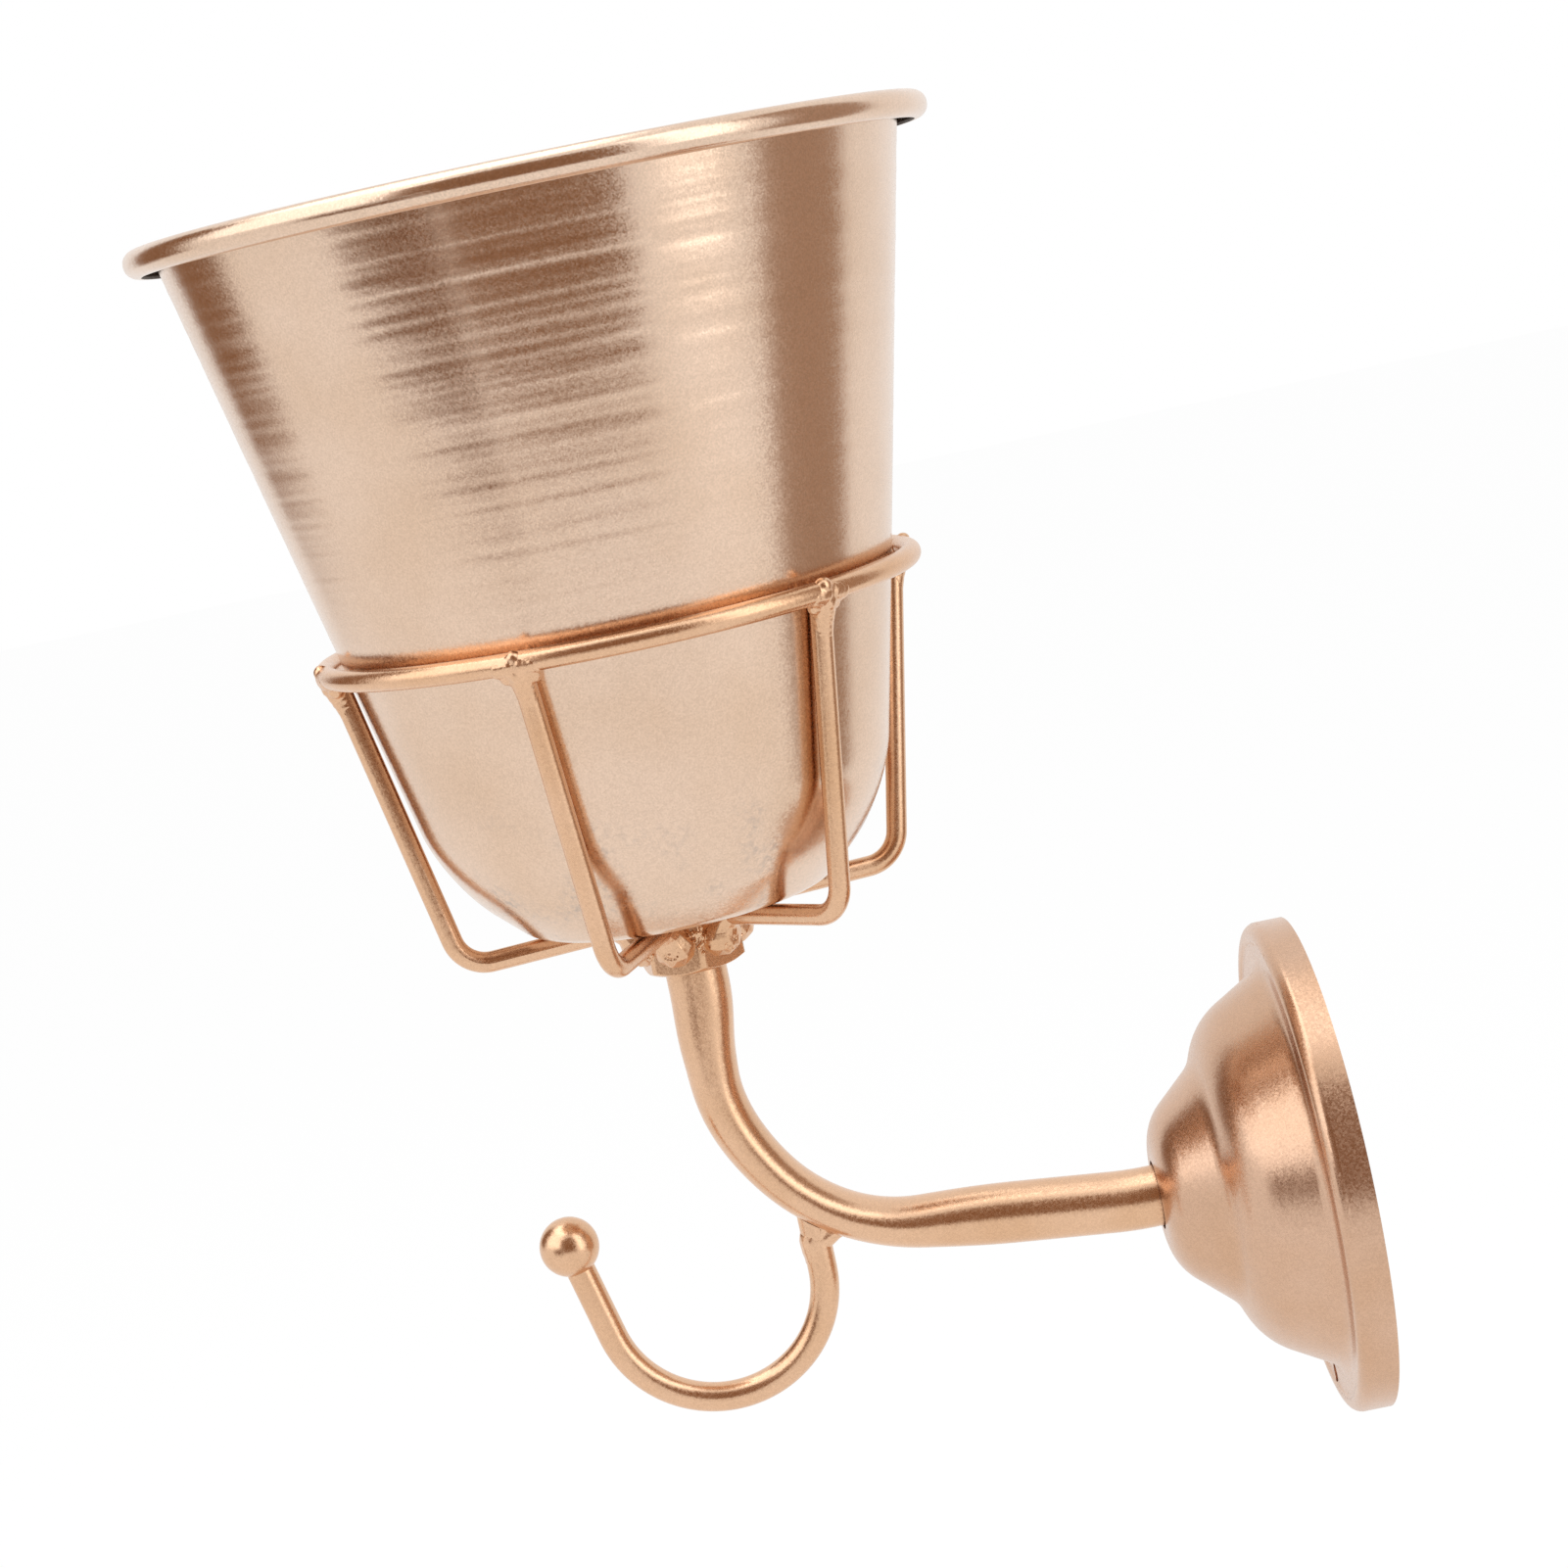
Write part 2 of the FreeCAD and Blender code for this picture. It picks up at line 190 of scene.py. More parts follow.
SQUEEZE_START = -18.0
SQUEEZE_FULL = 16.0
EASING_START = 14.0
EASING_END = 50.0
EASED_SHARE = 0.72
RELEASE_START = 42.0
RELEASE_END = 65.0
BOW_DEPTH = 0.82
BOW_PAST_BEND = 2.5
BOW_REACH_BEFORE = 24.0
BOW_REACH_AFTER = 15.0


def eased(share):
    """A smooth step from 0 to 1."""
    share = min(max(share, 0.0), 1.0)
    return share ** 3 * (10 - 15 * share + 6 * share ** 2)


def arm_squeeze(fed):
    """How far the tube is squeezed oval at a length along it: soon full, eased off, then let go."""
    rise = eased((fed - SQUEEZE_START) / (SQUEEZE_FULL - SQUEEZE_START))
    easing = 1 - (1 - EASED_SHARE) * eased((fed - EASING_START) / (EASING_END - EASING_START))
    release = eased((RELEASE_END - fed) / (RELEASE_END - RELEASE_START))
    return rise * easing * release


def arm_bow(fed):
    """How far the tube stands out from its true line at a length along it."""
    past = fed - MAIN_BEND_RUN - BOW_PAST_BEND
    reach = BOW_REACH_AFTER if past > 0 else BOW_REACH_BEFORE
    return BOW_DEPTH * eased(1 - abs(past) / reach)


def bend_arm():
    """Feed and turn the tube as a bender does: places along it, with its depth and width at each."""
    y = ARM_START
    z = 0.0
    heading = 0.0
    fed = -LEVEL_RUN - RISE_BEND_RUN - RISING_RUN
    line = [Vector((y, z, TUBE_DIAMETER, TUBE_DIAMETER))]
    for length, turn in ARM_RUNS:
        steps = math.ceil(length / ARM_RING_GAP)
        step_length = length / steps
        half_turn = math.radians(turn) / steps / 2
        for _ in range(steps):
            heading += half_turn
            y -= step_length * math.cos(heading)
            z += step_length * math.sin(heading)
            heading += half_turn
            fed += step_length
            bow = arm_bow(fed)
            squeeze = arm_squeeze(fed)
            line.append(Vector((y - bow * math.sin(heading), z - bow * math.cos(heading),
                                TUBE_DIAMETER + (SQUEEZED_DEPTH - TUBE_DIAMETER) * squeeze,
                                TUBE_DIAMETER + (SWOLLEN_WIDTH - TUBE_DIAMETER) * squeeze)))
    return line


def arm_ring_place(line, number):
    """Where a ring of the arm lies: across the tube's line, as wide and as deep as the tube is there."""
    y, z, depth, width = line[number]
    ahead = line[min(number + 1, len(line) - 1)] - line[max(number - 1, 0)]
    along = Vector((0, ahead[0], ahead[1])).normalized()
    across = Vector((1, 0, 0))
    turn = Matrix((across, along.cross(across), along)).transposed().to_4x4()
    return Matrix.Translation((0, y, z)) @ turn @ Matrix.Diagonal((width, depth, 1, 1))


def painted_piece(name, bm, material):
    """Turn a shape drawn in millimetres into a smooth painted piece."""
    bmesh.ops.scale(bm, verts=bm.verts, vec=(MM, MM, MM))
    mesh = bpy.data.meshes.new(name)
    bm.to_mesh(mesh)
    bm.free()
    mesh.shade_smooth()
    mesh.materials.append(material)
    piece = bpy.data.objects.new(name, mesh)
    bpy.context.scene.collection.objects.link(piece)
    return piece


arm_line = bend_arm()
arm_bm = bmesh.new()
ring_place = arm_ring_place(arm_line, 0)
ring = bmesh.ops.create_circle(arm_bm, cap_ends=False, radius=0.5, segments=ARM_SEGMENTS, matrix=ring_place)
ring_edges = list({edge for vertex in ring["verts"] for edge in vertex.link_edges})
for number in range(1, len(arm_line)):
    drawn = bmesh.ops.extrude_edge_only(arm_bm, edges=ring_edges)["geom"]
    ring_edges = [item for item in drawn if isinstance(item, bmesh.types.BMEdge)]
    next_place = arm_ring_place(arm_line, number)
    bmesh.ops.transform(arm_bm, matrix=next_place @ ring_place.inverted(),
                        verts=[item for item in drawn if isinstance(item, bmesh.types.BMVert)])
    ring_place = next_place
bmesh.ops.remove_doubles(arm_bm, verts=arm_bm.verts, dist=JOIN_WITHIN)
bmesh.ops.recalc_face_normals(arm_bm, faces=arm_bm.faces)
bmesh.ops.solidify(arm_bm, geom=arm_bm.faces[:], thickness=TUBE_WALL)
arm = painted_piece("bent_arm", arm_bm, bracket_paint)
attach(arm, "arm")
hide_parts("arm_tube")


# The hook: round steel wire with a ball on its end. Weld metal runs from its root into
# the underside of the arm, with a fillet towards the wall and a small pit where the arc broke off.
# A run of beads is given by places in the arm's plane, each with the bead's radius.
finish_node("hook_wire", bracket_paint)
finish_node("hook_ball", bracket_paint)
WELD_GRAIN = 0.03
WELD_GRAIN_LENGTH = 1.1
WELD_FLOW_FACTOR = 0.5
BEAD_GAP = 0.3
BEAD_SUBDIVISIONS = 2
HOOK_WELD_VOXEL = 0.2
HOOK_WELD_FLOW = 7
HOOK_ROOT_RUN = ((-88.9, 0.6, 2.5), (-89.1, 3.0, 2.62), (-89.15, 4.7, 2.66), (-88.0, 7.0, 2.4))
HOOK_FILLET_RUN = ((-88.8, 4.2, 2.6), (-87.0, 4.9, 2.2), (-85.5, 5.3, 1.65), (-84.0, 5.5, 1.3))
HOOK_PIT_PLACE = (2.7, -88.1, 5.1)
HOOK_PIT_WIDTH = 0.5
HOOK_PIT_DEPTH = 0.4


def bead_run(stations):
    """Beads laid close along a line of stations, each a place and a radius in millimetres."""
    beads = []
    for (start, start_radius), (end, end_radius) in zip(stations, stations[1:]):
        count = math.ceil((end - start).length / BEAD_GAP)
        for number in range(count + 1):
            share = number / count
            beads.append((start.lerp(end, share), start_radius + (end_radius - start_radius) * share))
    return beads


def weld_from_beads(name, beads, pits, voxel, flow_steps, body, solid):
    """Run beads of weld metal into one piece, dented by pits, that stands for a plain weld solid."""
    mesh = bpy.data.meshes.new(name)
    bm = bmesh.new()
    for centre, radius in beads:
        bmesh.ops.create_icosphere(bm, subdivisions=BEAD_SUBDIVISIONS, radius=radius * MM,
                                   matrix=Matrix.Translation(centre * MM))
    bm.to_mesh(mesh)
    bm.free()
    weld = bpy.data.objects.new(name, mesh)
    bpy.context.scene.collection.objects.link(weld)
    melt = weld.modifiers.new("melt", "REMESH")
    melt.mode = "VOXEL"
    melt.voxel_size = voxel * MM
    flow = weld.modifiers.new("flow", "SMOOTH")
    flow.factor = WELD_FLOW_FACTOR
    flow.iterations = flow_steps
    melted = bpy.data.meshes.new_from_object(weld.evaluated_get(bpy.context.evaluated_depsgraph_get()))
    weld.modifiers.clear()
    weld.data = melted
    melted.name = name
    pit_finder = kdtree.KDTree(max(len(pits), 1))
    for number, (place, width, depth) in enumerate(pits):
        pit_finder.insert(Vector(place) * MM, number)
    pit_finder.balance()
    outwards = [vertex.normal.copy() for vertex in melted.vertices]
    for vertex, outward in zip(melted.vertices, outwards):
        rise = WELD_GRAIN * noise.noise(vertex.co / (WELD_GRAIN_LENGTH * MM))
        _, number, distance = pit_finder.find(vertex.co)
        if number is not None:
            _, width, depth = pits[number]
            rise -= depth * max(0.0, 1.0 - distance / (width * MM)) ** 2
        vertex.co += outward * (rise * MM)
    melted.shade_smooth()
    melted.materials.clear()
    melted.materials.append(bracket_paint)
    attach(weld, body)
    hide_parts(solid)


hook_beads = []
for run in (HOOK_ROOT_RUN, HOOK_FILLET_RUN):
    hook_beads += bead_run([(Vector((0, y, z)), radius) for y, z, radius in run])
hook_pits = [(HOOK_PIT_PLACE, HOOK_PIT_WIDTH, HOOK_PIT_DEPTH)]
weld_from_beads("hook_weld_puddle", hook_beads, hook_pits, HOOK_WELD_VOXEL, HOOK_WELD_FLOW,
                "arm", "hook_weld")


# The foot of the cage: a steel nut that screws onto the arm. Each wire ends on one of its flats
# in a round lump of weld with a swirl in its middle, above a bare band of the nut, and spatter
# sits on the corners between. A lump's run is given by radius, height and bead size.
CUP_AXIS = Vector((0, -99.2, 0))
WIRE_COUNT = 6
WIRE_SPACING = 60.0
FIRST_WIRE_ANGLE = -77.0
WIRE_ANGLES = [FIRST_WIRE_ANGLE + WIRE_SPACING * number for number in range(WIRE_COUNT)]
NUT_TOP = 65.55
NUT_BOTTOM = 55.8
NUT_FLAT_RADIUS = 8.0
NUT_CORNER_RADIUS = 9.0
NUT_BORE_RADIUS = 5.28
NUT_EDGE = 0.2
NUT_CHAMFER_ROWS = 9
NUT_CHAMFER_RISE = 0.09
NUT_CHAMFER_RUN = 0.16
NUT_SEGMENTS = 144
NUT_WELD_VOXEL = 0.15
NUT_WELD_FLOW = 2
NUT_LUMP_RUN = ((11.8, 64.5, 1.85), (9.7, 63.4, 2.5), (8.5, 61.9, 3.25), (7.9, 60.9, 3.7))
NUT_LUMP_REACH = 11.3
NUT_LUMP_HEIGHT = 60.6
NUT_LUMP_ROUNDING = 6
SWIRL_STEPS = 16
SWIRL_STEP_TURN = 28
SWIRL_FIRST_REACH = 0.1
SWIRL_STEP_REACH = 0.13
SWIRL_WIDTH = 0.6
SWIRL_DEPTH = 0.5
SWIRL_STEP_DEPTH = 0.015
SPATTER_GRAINS = 34
SPATTER_BOTTOM = 59.0
SPATTER_TOP = 65.6
SPATTER_OUT = (-0.3, 0.25)
SPATTER_LOW_SPREAD = 1.2
SPATTER_SPREAD_PER_MM = 0.5
SPATTER_SIZES = (0.26, 0.5)
WELDING_SEED = 7


def round_the_cup(radius, angle, height):
    """A point at a radius and angle about the cup's axis."""
    turn = math.radians(angle)
    return CUP_AXIS + Vector((radius * math.cos(turn), radius * math.sin(turn), height))


def nut_flat_reach(angle):
    """How far the nut reaches from its axis at an angle, with a flat towards each wire."""
    from_flat = (angle - FIRST_WIRE_ANGLE + WIRE_SPACING / 2) % WIRE_SPACING - WIRE_SPACING / 2
    return NUT_FLAT_RADIUS / math.cos(math.radians(from_flat))


chamfer = [(NUT_CHAMFER_RISE * row, NUT_FLAT_RADIUS - NUT_EDGE + NUT_CHAMFER_RUN * row)
           for row in range(NUT_CHAMFER_ROWS + 1)]
nut_rows = [(NUT_TOP, NUT_BORE_RADIUS),
            (NUT_BOTTOM + NUT_EDGE, NUT_BORE_RADIUS),
            (NUT_BOTTOM, NUT_BORE_RADIUS + NUT_EDGE)]
nut_rows += [(NUT_BOTTOM + rise, reach) for rise, reach in chamfer]
nut_rows += [(NUT_TOP - rise, reach) for rise, reach in reversed(chamfer)]
nut_rows.append((NUT_TOP, NUT_BORE_RADIUS))
nut_bm = bmesh.new()
nut_circle = bmesh.ops.create_circle(nut_bm, cap_ends=False, radius=1.0, segments=NUT_SEGMENTS)["verts"]
nut_ring = list({edge for vertex in nut_circle for edge in vertex.link_edges})
for number, (height, reach) in enumerate(nut_rows):
    if number:
        drawn = bmesh.ops.extrude_edge_only(nut_bm, edges=nut_ring)["geom"]
        nut_ring = [item for item in drawn if isinstance(item, bmesh.types.BMEdge)]
    for vertex in {end for edge in nut_ring for end in edge.verts}:
        angle = math.degrees(math.atan2(vertex.co.y, vertex.co.x))
        vertex.co = round_the_cup(min(reach, nut_flat_reach(angle)), angle, height) - CUP_AXIS
bmesh.ops.remove_doubles(nut_bm, verts=nut_bm.verts, dist=JOIN_WITHIN)
bmesh.ops.recalc_face_normals(nut_bm, faces=nut_bm.faces)
bmesh.ops.translate(nut_bm, verts=nut_bm.verts, vec=CUP_AXIS)
cage_nut = painted_piece("cage_nut", nut_bm, bracket_paint)
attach(cage_nut, "holder")
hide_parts("hub_nut")

chance = random.Random(WELDING_SEED)
nut_beads = []
nut_pits = []
for angle in WIRE_ANGLES:
    lump_line = [(round_the_cup(radius, angle, height), size) for radius, height, size in NUT_LUMP_RUN]
    nut_beads += bead_run(lump_line)
    swirl_start = chance.uniform(0, 360)
    for step in range(SWIRL_STEPS):
        turn = math.radians(swirl_start + SWIRL_STEP_TURN * step)
        reach = SWIRL_FIRST_REACH + SWIRL_STEP_REACH * step
        sideways = math.degrees(reach * math.cos(turn) / NUT_LUMP_REACH)
        radius = NUT_LUMP_REACH - reach ** 2 / NUT_LUMP_ROUNDING
        place = round_the_cup(radius, angle + sideways, NUT_LUMP_HEIGHT + reach * math.sin(turn))
        nut_pits.append((place, SWIRL_WIDTH, SWIRL_DEPTH - SWIRL_STEP_DEPTH * step))
for angle in WIRE_ANGLES:
    for _ in range(SPATTER_GRAINS):
        height = chance.uniform(SPATTER_BOTTOM, SPATTER_TOP)
        spread = SPATTER_LOW_SPREAD + SPATTER_SPREAD_PER_MM * (height - SPATTER_BOTTOM)
        radius = NUT_CORNER_RADIUS + chance.uniform(*SPATTER_OUT)
        corner_angle = angle + WIRE_SPACING / 2 + chance.gauss(0, spread)
        nut_beads.append((round_the_cup(radius, corner_angle, height), chance.uniform(*SPATTER_SIZES)))
weld_from_beads("nut_weld_lumps", nut_beads, nut_pits, NUT_WELD_VOXEL, NUT_WELD_FLOW,
                "holder", "nut_welds")


# The cage: six bent steel wires that run out under the cup and up to a wire ring,
# each melted into the underside of the ring by a weld with two small fillets.
# A bead on a wire's end is given by its drop below the ring, its place inside it and its size.
finish_node("cage_ring", bracket_paint)
for number in range(1, WIRE_COUNT + 1):
    finish_node(f"cage_wire_{number}", bracket_paint)
RING_WELD_VOXEL = 0.22
RING_WELD_FLOW = 7
RING_RADIUS = 49.05
RING_HEIGHT = 116.6
WIRE_END_BEADS = ((6.4, 2.3, 1.78), (5.2, 2.0, 1.86), (4.0, 1.6, 1.95), (2.9, 1.2, 2.05), (1.6, 0.6, 2.1))
COLLAR_LEAN = (-0.4, 0.4)
COLLAR_STEPS = (-3, -2, -1, 1, 2, 3)
COLLAR_GAP = 0.95
COLLAR_SIZE = 2.12
COLLAR_STEP_SIZE = 0.07
COLLAR_UNEVEN = (-0.05, 0.05)
COLLAR_INSIDE = 0.1
COLLAR_DROP = 0.25
FILLET_ASIDE = (1.9, 2.4)
FILLET_INSIDE = 0.7
FILLET_DROP = 2.2
FILLET_SIZES = (1.05, 1.45)
KNOB_ASIDE = (-1.2, 1.2)
KNOB_OUTSIDE = 0.7
KNOB_RISE = 0.9
KNOB_SIZES = (1.1, 1.5)
ring_beads = []
for angle in WIRE_ANGLES:
    lean = chance.uniform(*COLLAR_LEAN)
    for drop, inside, size in WIRE_END_BEADS:
        ring_beads.append((round_the_cup(RING_RADIUS - inside, angle, RING_HEIGHT - drop), size))
    for step in COLLAR_STEPS:
        along = math.degrees((step * COLLAR_GAP + lean) / RING_RADIUS)
        size = COLLAR_SIZE - COLLAR_STEP_SIZE * abs(step) + chance.uniform(*COLLAR_UNEVEN)
        place = round_the_cup(RING_RADIUS - COLLAR_INSIDE, angle + along, RING_HEIGHT - COLLAR_DROP)
        ring_beads.append((place, size))
    for side in (-1, 1):
        along = math.degrees(side * chance.uniform(*FILLET_ASIDE) / RING_RADIUS)
        place = round_the_cup(RING_RADIUS - FILLET_INSIDE, angle + along, RING_HEIGHT - FILLET_DROP)
        ring_beads.append((place, chance.uniform(*FILLET_SIZES)))
    along = math.degrees(chance.uniform(*KNOB_ASIDE) / RING_RADIUS)
    place = round_the_cup(RING_RADIUS + KNOB_OUTSIDE, angle + along, RING_HEIGHT + KNOB_RISE)
    ring_beads.append((place, chance.uniform(*KNOB_SIZES)))
weld_from_beads("ring_weld_collars", ring_beads, [], RING_WELD_VOXEL, RING_WELD_FLOW,
                "holder", "ring_welds")


# The cup: sheet metal spun on a lathe, with its lip rolled outwards. The spinning tool leaves
# uneven rings round it, strongest under the lip. Its paint is paler and pinker than the bracket's,
# and scuffed grey low down where the cage rubs it. The inside of the lip's curl is painted near-black as
# painted shade for the dark gap under the lip.
CUP_COLOUR = (0.77, 0.575, 0.44, 1.0)
CUP_DEEP_COLOUR = (0.72, 0.52, 0.38, 1.0)
CUP_ROUGHNESS = 0.19
CUP_FLAKE_TILT = 0.03
SCUFF_COLOUR = (0.42, 0.36, 0.32, 1.0)
SCUFF_DETAIL = 4.0
SCUFF_PATCHES_PER_METRE = 75.0
SCUFF_PATCH_RANGE = (0.53, 0.68)
SCUFF_SPECKS_PER_METRE = 900.0
SCUFF_SPECK_RANGE = (0.45, 0.7)
SCUFF_STRENGTH = 0.75
SCUFF_TOP = 97.0
SCUFF_FULL = 77.0
# Painted shade: a near-black paint for the inside of the lip's curl, where the gap under the lip lies in
# shade.
CURL_SHADE_COLOUR = (0.075, 0.05, 0.035, 1.0)
CURL_DEEP_SHADE_COLOUR = (0.05, 0.035, 0.025, 1.0)
CURL_ROUGHNESS = 0.5
CURL_MIDDLE = Vector((63.5, 186.75))
CURL_SHADE_REACH = 1.9
CUP_SHEET = 1.0
CUP_SEGMENTS = 128
CUP_WALL_ROWS = 240
CUP_BOTTOM_ROWS = 6
CUP_JOIN_WITHIN = 0.005
CUP_CORNERS = ((0.0, 67.65), (25.0, 67.65), (36.9, 79.35), (60.2, 188.95), (65.6, 188.95), (65.6, 184.55),
               (63.2, 184.55))
CUP_CORNER_ROUNDINGS = ((1, 1.64, 5), (2, 9.03, 16), (3, 1.78, 8), (4, 2.11, 8), (5, 2.11, 8))
RIPPLE_INSIDE = 1.0
RIPPLE_TOP = 183.0
RIPPLE_FADE = 105.0
RIPPLE_LEAST = 0.12
RIPPLES = ((0.08, 0.38, 0.7), (0.04, 0.95, 0.9))


def multiplied(tree, first, second):
    """The product of two values."""
    product = new_node(tree, "ShaderNodeMath", operation="MULTIPLY")
    link(tree, first, product.inputs[0])
    link(tree, second, product.inputs[1])
    return product.outputs["Value"]


def scuff(material):
    """Rub grey specks, in patches, into the lower part of a paint."""
    tree = material.node_tree
    shader = tree.nodes["Principled BSDF"]
    place = new_node(tree, "ShaderNodeTexCoord")
    patches = clouds(tree, place, SCUFF_PATCHES_PER_METRE, SCUFF_DETAIL)
    specks = clouds(tree, place, SCUFF_SPECKS_PER_METRE, SCUFF_DETAIL)
    specked = multiplied(tree, ranged(tree, patches, SCUFF_PATCH_RANGE, WHOLE_RANGE),
                         ranged(tree, specks, SCUFF_SPECK_RANGE, WHOLE_RANGE))
    height = new_node(tree, "ShaderNodeSeparateXYZ")
    link(tree, place.outputs["Object"], height.inputs["Vector"])
    low_down = ranged(tree, height.outputs["Z"], (SCUFF_TOP * MM, SCUFF_FULL * MM), (0.0, SCUFF_STRENGTH))
    tone = new_node(tree, "ShaderNodeMix", data_type="RGBA")
    tone.inputs["B"].default_value = SCUFF_COLOUR
    link(tree, shader.inputs["Base Color"].links[0].from_socket, tone.inputs["A"])
    link(tree, multiplied(tree, specked, low_down), tone.inputs["Factor"])
    link(tree, tone.outputs["Result"], shader.inputs["Base Color"])


cup_paint = flake_paint("cup_gold_paint", CUP_COLOUR, CUP_DEEP_COLOUR, CUP_ROUGHNESS, CUP_FLAKE_TILT)
scuff(cup_paint)
# The near-black paint inside the lip's curl is painted shade, not a colour of the cup.
curl_painted_shade = flake_paint("curl_painted_shade", CURL_SHADE_COLOUR, CURL_DEEP_SHADE_COLOUR, CURL_ROUGHNESS, CUP_FLAKE_TILT)
cup_bm = bmesh.new()
profile = [cup_bm.verts.new((radius, 0, height)) for radius, height in CUP_CORNERS]
for pair in zip(profile, profile[1:]):
    cup_bm.edges.new(pair)
for corner, reach, segments in CUP_CORNER_ROUNDINGS:
    bmesh.ops.bevel(cup_bm, geom=[profile[corner]], offset=reach, offset_type="OFFSET", affect="VERTICES",
                    segments=segments, profile=0.5, material=-1)
wall = max(cup_bm.edges, key=lambda edge: edge.calc_length())
bottom = min(cup_bm.edges, key=lambda edge: sum(end.co.x for end in edge.verts))
bmesh.ops.subdivide_edges(cup_bm, edges=[wall], cuts=CUP_WALL_ROWS)
bmesh.ops.subdivide_edges(cup_bm, edges=[bottom], cuts=CUP_BOTTOM_ROWS)
bmesh.ops.spin(cup_bm, geom=cup_bm.verts[:] + cup_bm.edges[:], cent=(0, 0, 0), axis=(0, 0, 1), dvec=(0, 0, 0),
               angle=2 * math.pi, steps=CUP_SEGMENTS, use_merge=True, use_duplicate=False)
bmesh.ops.remove_doubles(cup_bm, verts=cup_bm.verts, dist=CUP_JOIN_WITHIN)
bmesh.ops.recalc_face_normals(cup_bm, faces=cup_bm.faces)
bmesh.ops.solidify(cup_bm, geom=cup_bm.faces[:], thickness=CUP_SHEET)
# Faces within reach of the curl's middle take the painted shade.
for face in cup_bm.faces:
    place = face.calc_center_median()
    from_curl = Vector((place.xy.length, place.z)) - CURL_MIDDLE
    if from_curl.length < CURL_SHADE_REACH:
        face.material_index = 1
for vertex in cup_bm.verts:
    place = vertex.co
    across = Vector((place.x, place.y, 0))
    if across.length < RIPPLE_INSIDE or place.z > RIPPLE_TOP:
        continue
    outward = across.normalized()
    strength = min(max((place.z - RIPPLE_FADE) / (RIPPLE_TOP - RIPPLE_FADE), RIPPLE_LEAST), 1.0)
    for depth, rows_per_mm, turns in RIPPLES:
        rise = noise.noise(Vector((outward.x * turns, outward.y * turns, place.z * rows_per_mm)))
        vertex.co += outward * (depth * strength * rise)
bmesh.ops.translate(cup_bm, verts=cup_bm.verts, vec=CUP_AXIS)
cup = painted_piece("spun_cup", cup_bm, cup_paint)
cup.data.materials.append(curl_painted_shade)
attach(cup, "cup")
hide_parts("cup")


# The studio: a pale floor in a white room, with soft lamps overhead and to the left and right.
# Each is an area lamp with a feathered face that only reflections see. Brown cards, also seen
# only in reflections, stand where the real room was dark.
FLOOR_HEIGHT = -0.30
FLOOR_HALF_WIDTH = 6.0
FLOOR_COLOUR = (0.92, 0.92, 0.92, 1.0)
FLOOR_SEEN_WHITE = 0.92
ROOM_LIGHT = (0.9, 0.9, 0.9, 1.0)
WHITE = (1.0, 1.0, 1.0, 1.0)
CARD_CORNERS = ((-1, -1), (1, -1), (1, 1), (-1, 1))
OBJECT_MIDDLE = Vector((0, -0.08, 0.07))


def seen_rays(tree):
    """Whether a ray comes from the camera, straight, mirrored or through glass."""
    rays = new_node(tree, "ShaderNodeLightPath")
    seen = new_node(tree, "ShaderNodeMath", operation="MAXIMUM")
    link(tree, rays.outputs["Is Camera Ray"], seen.inputs[0])
    link(tree, rays.outputs["Is Glossy Ray"], seen.inputs[1])
    seen_through = new_node(tree, "ShaderNodeMath", operation="MAXIMUM")
    link(tree, seen.outputs["Value"], seen_through.inputs[0])
    link(tree, rays.outputs["Is Transmission Ray"], seen_through.inputs[1])
    return seen_through.outputs["Value"]


def show_either(tree, share, first, second, output_kind):
    """Show one shader or the other by a share."""
    either = new_node(tree, "ShaderNodeMixShader")
    link(tree, share, either.inputs["Fac"])
    link(tree, first, either.inputs[1])
    link(tree, second, either.inputs[2])
    output = new_node(tree, output_kind)
    link(tree, either.outputs["Shader"], output.inputs["Surface"])


world = bpy.data.worlds.new("white_room")
world.use_nodes = True
bpy.context.scene.world = world
room = world.node_tree
room.nodes.clear()
room_light = new_node(room, "ShaderNodeBackground")
room_light.inputs["Color"].default_value = ROOM_LIGHT
backdrop = new_node(room, "ShaderNodeBackground")
backdrop.inputs["Color"].default_value = WHITE
show_either(room, seen_rays(room), room_light.outputs["Background"], backdrop.outputs["Background"],
            "ShaderNodeOutputWorld")

floor_mesh = bpy.data.meshes.new("floor")
floor_bm = bmesh.new()
bmesh.ops.create_grid(floor_bm, x_segments=2, y_segments=2, size=FLOOR_HALF_WIDTH)
bmesh.ops.translate(floor_bm, verts=floor_bm.verts, vec=(0, 0, FLOOR_HEIGHT))
floor_bm.to_mesh(floor_mesh)
floor_bm.free()
floor = bpy.data.objects.new("floor", floor_mesh)
bpy.context.scene.collection.objects.link(floor)
floor_paint = bpy.data.materials.new("floor_white")
floor_paint.use_nodes = True
floor_tree = floor_paint.node_tree
floor_tree.nodes.clear()
floor_share = new_node(floor_tree, "ShaderNodeMath", operation="MULTIPLY")
floor_share.inputs[1].default_value = FLOOR_SEEN_WHITE
link(floor_tree, seen_rays(floor_tree), floor_share.inputs[0])
floor_matt = new_node(floor_tree, "ShaderNodeBsdfDiffuse")
floor_matt.inputs["Color"].default_value = FLOOR_COLOUR
floor_glow = new_node(floor_tree, "ShaderNodeEmission")
floor_glow.inputs["Color"].default_value = WHITE
show_either(floor_tree, floor_share.outputs["Value"], floor_matt.outputs["BSDF"],
            floor_glow.outputs["Emission"], "ShaderNodeOutputMaterial")
floor_mesh.materials.append(floor_paint)


def from_object(azimuth, elevation, distance):
    """A point seen from the object: azimuth from +X towards +Y, elevation up from level."""
    a = math.radians(azimuth)
    e = math.radians(elevation)
    way = Vector((math.cos(a) * math.cos(e), math.sin(a) * math.cos(e), math.sin(e)))
    return OBJECT_MIDDLE + distance * way


def facing_object(place):
    """The turn that makes a lamp at a place look at the object."""
    return (OBJECT_MIDDLE - place).to_track_quat("-Z", "Y")


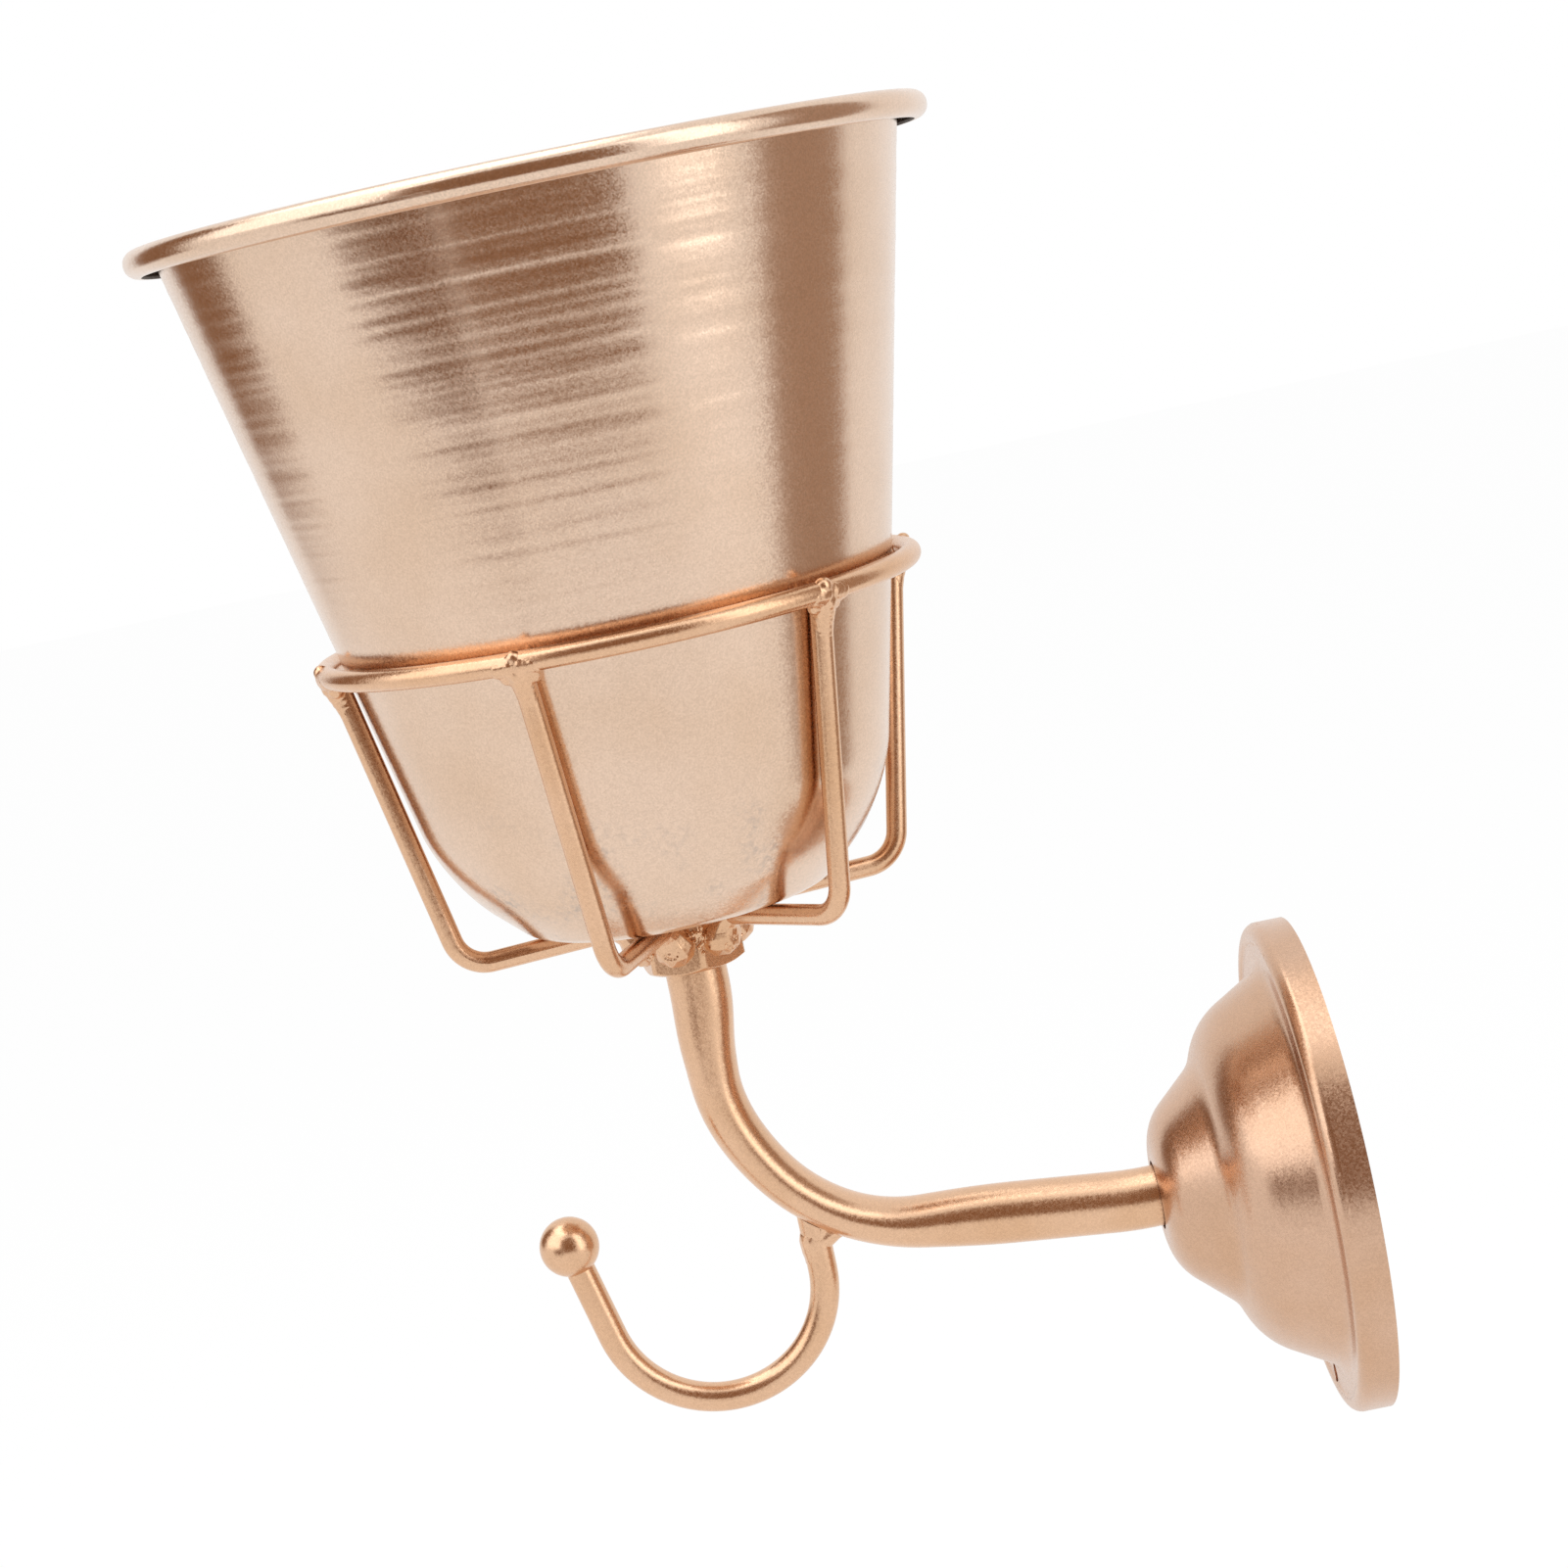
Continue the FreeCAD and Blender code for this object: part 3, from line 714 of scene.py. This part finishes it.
def soft_card(name, middle, half_width, half_height, feather, colour):
    """A card with feathered edges that only reflections see, from its middle and two half sides."""
    mesh = bpy.data.meshes.new(name)
    bm = bmesh.new()
    corner_places = bm.loops.layers.uv.new("card")
    middle = Vector(middle)
    half_width = Vector(half_width)
    half_height = Vector(half_height)
    face = bm.faces.new([bm.verts.new(middle + half_width * u + half_height * v) for u, v in CARD_CORNERS])
    for loop, corner in zip(face.loops, CARD_CORNERS):
        loop[corner_places].uv = corner
    bm.to_mesh(mesh)
    bm.free()
    card = bpy.data.objects.new(name, mesh)
    bpy.context.scene.collection.objects.link(card)
    paint = bpy.data.materials.new(name)
    paint.use_nodes = True
    tree = paint.node_tree
    tree.nodes.clear()
    place = new_node(tree, "ShaderNodeUVMap", uv_map="card")
    sides = new_node(tree, "ShaderNodeSeparateXYZ")
    link(tree, place.outputs["UV"], sides.inputs["Vector"])
    covers = []
    for side, half_length in (("X", half_width.length), ("Y", half_height.length)):
        from_middle = new_node(tree, "ShaderNodeMath", operation="ABSOLUTE")
        link(tree, sides.outputs[side], from_middle.inputs[0])
        edge = new_node(tree, "ShaderNodeMapRange", interpolation_type="SMOOTHSTEP")
        edge.inputs["From Min"].default_value = 1.0
        edge.inputs["From Max"].default_value = 1.0 - min(feather / half_length, 1.0)
        link(tree, from_middle.outputs["Value"], edge.inputs["Value"])
        covers.append(edge.outputs["Result"])
    clear = new_node(tree, "ShaderNodeBsdfTransparent")
    glow = new_node(tree, "ShaderNodeEmission")
    glow.inputs["Color"].default_value = colour
    show_either(tree, multiplied(tree, *covers), clear.outputs["BSDF"], glow.outputs["Emission"],
                "ShaderNodeOutputMaterial")
    mesh.materials.append(paint)
    card.visible_camera = False
    card.visible_diffuse = False
    card.visible_shadow = False


def soft_lamp(name, azimuth, elevation, distance, width, height, feather, brightness):
    """A softbox: an area lamp that lights the floor and a feathered face for reflections."""
    light = bpy.data.lights.new(name, "AREA")
    light.shape = "RECTANGLE"
    light.size = width
    light.size_y = height
    light.energy = (brightness - 1.0) * math.pi * width * height
    lamp = bpy.data.objects.new(name, light)
    bpy.context.scene.collection.objects.link(lamp)
    lamp.location = from_object(azimuth, elevation, distance)
    lamp.rotation_mode = "QUATERNION"
    lamp.rotation_quaternion = facing_object(lamp.location)
    lamp.visible_camera = False
    lamp.visible_glossy = False
    soft_card(name + "_face", lamp.location, lamp.rotation_quaternion @ Vector((width / 2, 0, 0)),
              lamp.rotation_quaternion @ Vector((0, height / 2, 0)), feather,
              (brightness, brightness, brightness, 1))


soft_lamp("lamp_overhead", azimuth=-84, elevation=77.5, distance=0.96, width=1.05, height=1.05,
          feather=0.2, brightness=2.4)
soft_lamp("lamp_left", azimuth=-63, elevation=33, distance=0.9, width=1.22, height=1.04,
          feather=0.22, brightness=1.75)
soft_lamp("lamp_right", azimuth=51, elevation=23, distance=0.9, width=0.56, height=1.5,
          feather=0.2, brightness=2.1)
soft_card("card_front", middle=(0.40, -0.115, 0.245), half_width=(0, 0.27, 0), half_height=(0, 0, 0.29),
          feather=0.06, colour=(0.28, 0.155, 0.09, 1))
soft_card("card_low", middle=(0.40, -0.53, 0.03), half_width=(0, 0.27, 0), half_height=(0, 0, 0.12),
          feather=0.08, colour=(0.22, 0.115, 0.065, 1))
soft_card("card_right", middle=(-0.03, 0.55, 0.28), half_width=(0.27, 0, 0), half_height=(0, 0, 0.60),
          feather=0.10, colour=(0.42, 0.29, 0.215, 1))
soft_card("card_left", middle=(-0.36, -0.70, 0.40), half_width=(-0.26, 0.08, 0), half_height=(0, 0, 0.45),
          feather=0.12, colour=(0.27, 0.14, 0.075, 1))


# The camera: it stands where the photograph was taken from, to the side of the vase
# and above its cage, and leans over as the photograph does.
CAMERA_PLACE = Vector((0.520, -0.0719761, 0.1679991))
CAMERA_YAW = -0.0123
CAMERA_PITCH = -0.1628
CAMERA_ROLL = -0.2057
CAMERA_FOCAL_PIXELS = 3233.03
CAMERA_SENSOR_WIDTH = 36.0
CAMERA_NEAREST = 0.01
CAMERA_FARTHEST = 50.0
PHOTO_PIXELS = 1601
ahead = Vector((-math.cos(CAMERA_PITCH) * math.cos(CAMERA_YAW),
                math.cos(CAMERA_PITCH) * math.sin(CAMERA_YAW),
                math.sin(CAMERA_PITCH)))
level_right = ahead.cross(Vector((0, 0, 1))).normalized()
level_up = level_right.cross(ahead)
right = math.cos(CAMERA_ROLL) * level_right + math.sin(CAMERA_ROLL) * level_up
up = math.cos(CAMERA_ROLL) * level_up - math.sin(CAMERA_ROLL) * level_right
camera_data = bpy.data.cameras.new("camera")
camera_data.sensor_width = CAMERA_SENSOR_WIDTH
camera_data.lens = camera_data.sensor_width * CAMERA_FOCAL_PIXELS / PHOTO_PIXELS
camera_data.clip_start = CAMERA_NEAREST
camera_data.clip_end = CAMERA_FARTHEST
camera = bpy.data.objects.new("camera", camera_data)
bpy.context.scene.collection.objects.link(camera)
camera.matrix_world = Matrix.Translation(CAMERA_PLACE) @ Matrix((right, up, -ahead)).transposed().to_4x4()
bpy.context.scene.camera = camera
bpy.context.scene.view_settings.view_transform = "Standard"
